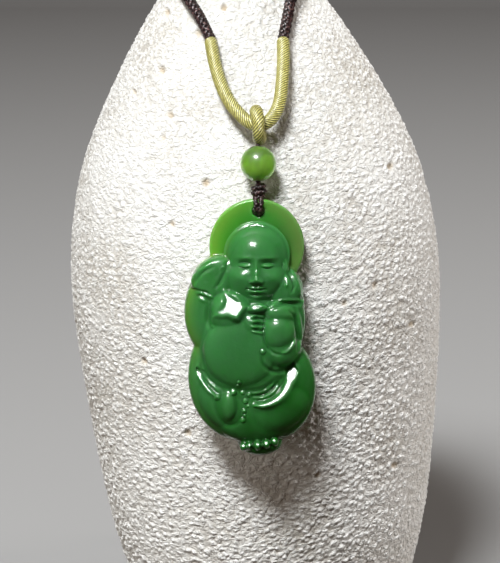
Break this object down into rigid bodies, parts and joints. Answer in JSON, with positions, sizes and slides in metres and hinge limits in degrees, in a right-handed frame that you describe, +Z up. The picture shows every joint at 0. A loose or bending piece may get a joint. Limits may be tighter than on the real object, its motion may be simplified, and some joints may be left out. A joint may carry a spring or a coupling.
{
  "type": "buddha pendant necklace on display stand",
  "caption": "Carved jade figure pendant with bead and knotted cord, hung round a leaning bottle-shaped display stand.",
  "frame": {"origin": "centre of the stand's flat foot, on the surface that it stands on", "axes": "+Z up, the pendant and the stand's front face -Y, +X to the viewer's right; the stand's axis leans 3.4 degrees towards -X"},
  "size_m": [0.0901, 0.167, 0.1927],
  "materials": {
    "plaster": "matt, rough cast plaster",
    "braid": "braided nylon",
    "silk_winding": "silk thread wound side by side, light sheen",
    "bead_jade": "polished, translucent",
    "jade": "polished, translucent"
  },
  "bodies": {
    "stand": {"display_stand": "plaster", "neck_cord": "braid", "cord_sleeve": "silk_winding", "closing_sleeve": "braid"},
    "drop": {"hanging_ring": "silk_winding", "bead": "bead_jade", "pendant_cord": "braid"},
    "pendant": {"buddha_pendant": "jade"}
  },
  "joints": [
    {"name": "drop_swing", "type": "hinge", "parent": "stand", "child": "drop", "pos_m": [-0.0048, -0.0389, 0.1335], "axis": [-1, 0, 0], "range_deg": [0, 75]},
    {"name": "pendant_swing", "type": "hinge", "parent": "drop", "child": "pendant", "pos_m": [-0.0048, -0.04399, 0.11535], "axis": [0, -0.9903, 0.1392], "range_deg": [-20, 20]}
  ]
}
